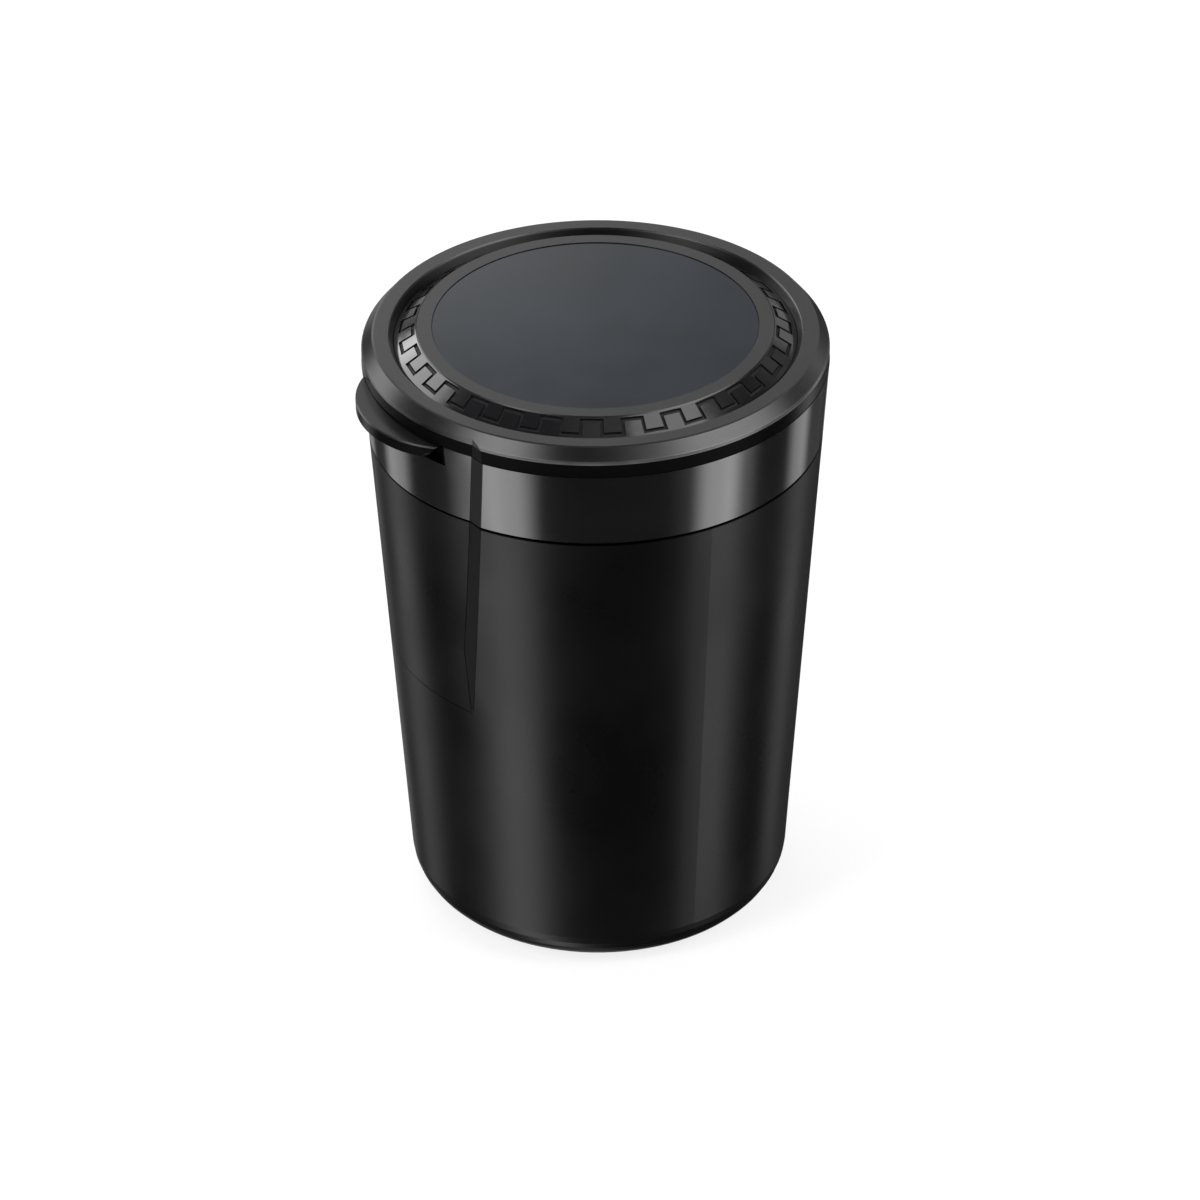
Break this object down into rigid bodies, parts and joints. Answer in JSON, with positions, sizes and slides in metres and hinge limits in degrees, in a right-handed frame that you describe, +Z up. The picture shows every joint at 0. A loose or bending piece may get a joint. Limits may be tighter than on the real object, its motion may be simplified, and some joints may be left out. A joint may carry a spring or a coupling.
{
  "type": "car ashtray",
  "caption": "Tapered cup ashtray with a lift-out metal liner, a twist-off head and a hinged, lighted lid that carries an engraved meander ring.",
  "frame": {"origin": "centre of the pad's underside, where the ashtray stands", "axes": "+Z up along the cup's axis, -Y towards the thumb tab, +Y towards the hinge, +X along the hinge pin"},
  "size_m": [0.0796, 0.0854, 0.1117],
  "materials": {
    "satin_black": "satin",
    "gloss_black": "high gloss",
    "matte_black": "matte",
    "lid_satin": "satin",
    "gloss_ring": "high gloss",
    "panel_slate": "gloss",
    "liner_metal": "drawn",
    "soft_rubber": "matte",
    "rest_resin": "fine grain",
    "sheet_steel": "brushed",
    "pin_steel": "ground",
    "sleeve_brass": "satin",
    "board_green": "solder mask",
    "emitter_white": "smooth",
    "lens_clear": "frosted",
    "chip_black": "moulded"
  },
  "bodies": {
    "cup": {"cup": "satin_black", "base_pad": "soft_rubber", "liner": "liner_metal"},
    "head": {"collar": "gloss_black", "head_seal": "soft_rubber", "rest_ring": "rest_resin", "snuffer_plate": "sheet_steel", "snuffer_sleeve": "sleeve_brass", "switch_magnet": "pin_steel", "hinge_pin": "pin_steel"},
    "lid": {"lid_shell": "lid_satin", "lid_base": "matte_black", "meander_ring": "gloss_ring", "disc_frame": "lid_satin", "top_panel": "panel_slate", "lid_gasket": "soft_rubber", "heat_shield": "sheet_steel", "led_board": "board_green", "led_emitters": "emitter_white", "led_lens": "lens_clear", "lid_sensor": "chip_black", "coin_cell": "pin_steel", "cell_contact": "sleeve_brass", "battery_cover": "chip_black", "lid_screws": "pin_steel"}
  },
  "joints": [
    {"name": "head_twist", "type": "hinge", "parent": "cup", "child": "head", "pos_m": [0, 0, 0.0986], "axis": [0, 0, 1], "range_deg": [0, 30]},
    {"name": "lid_hinge", "type": "hinge", "parent": "head", "child": "lid", "pos_m": [0, 0.03902, 0.103], "axis": [-1, 0, 0], "range_deg": [0, 100]}
  ]
}
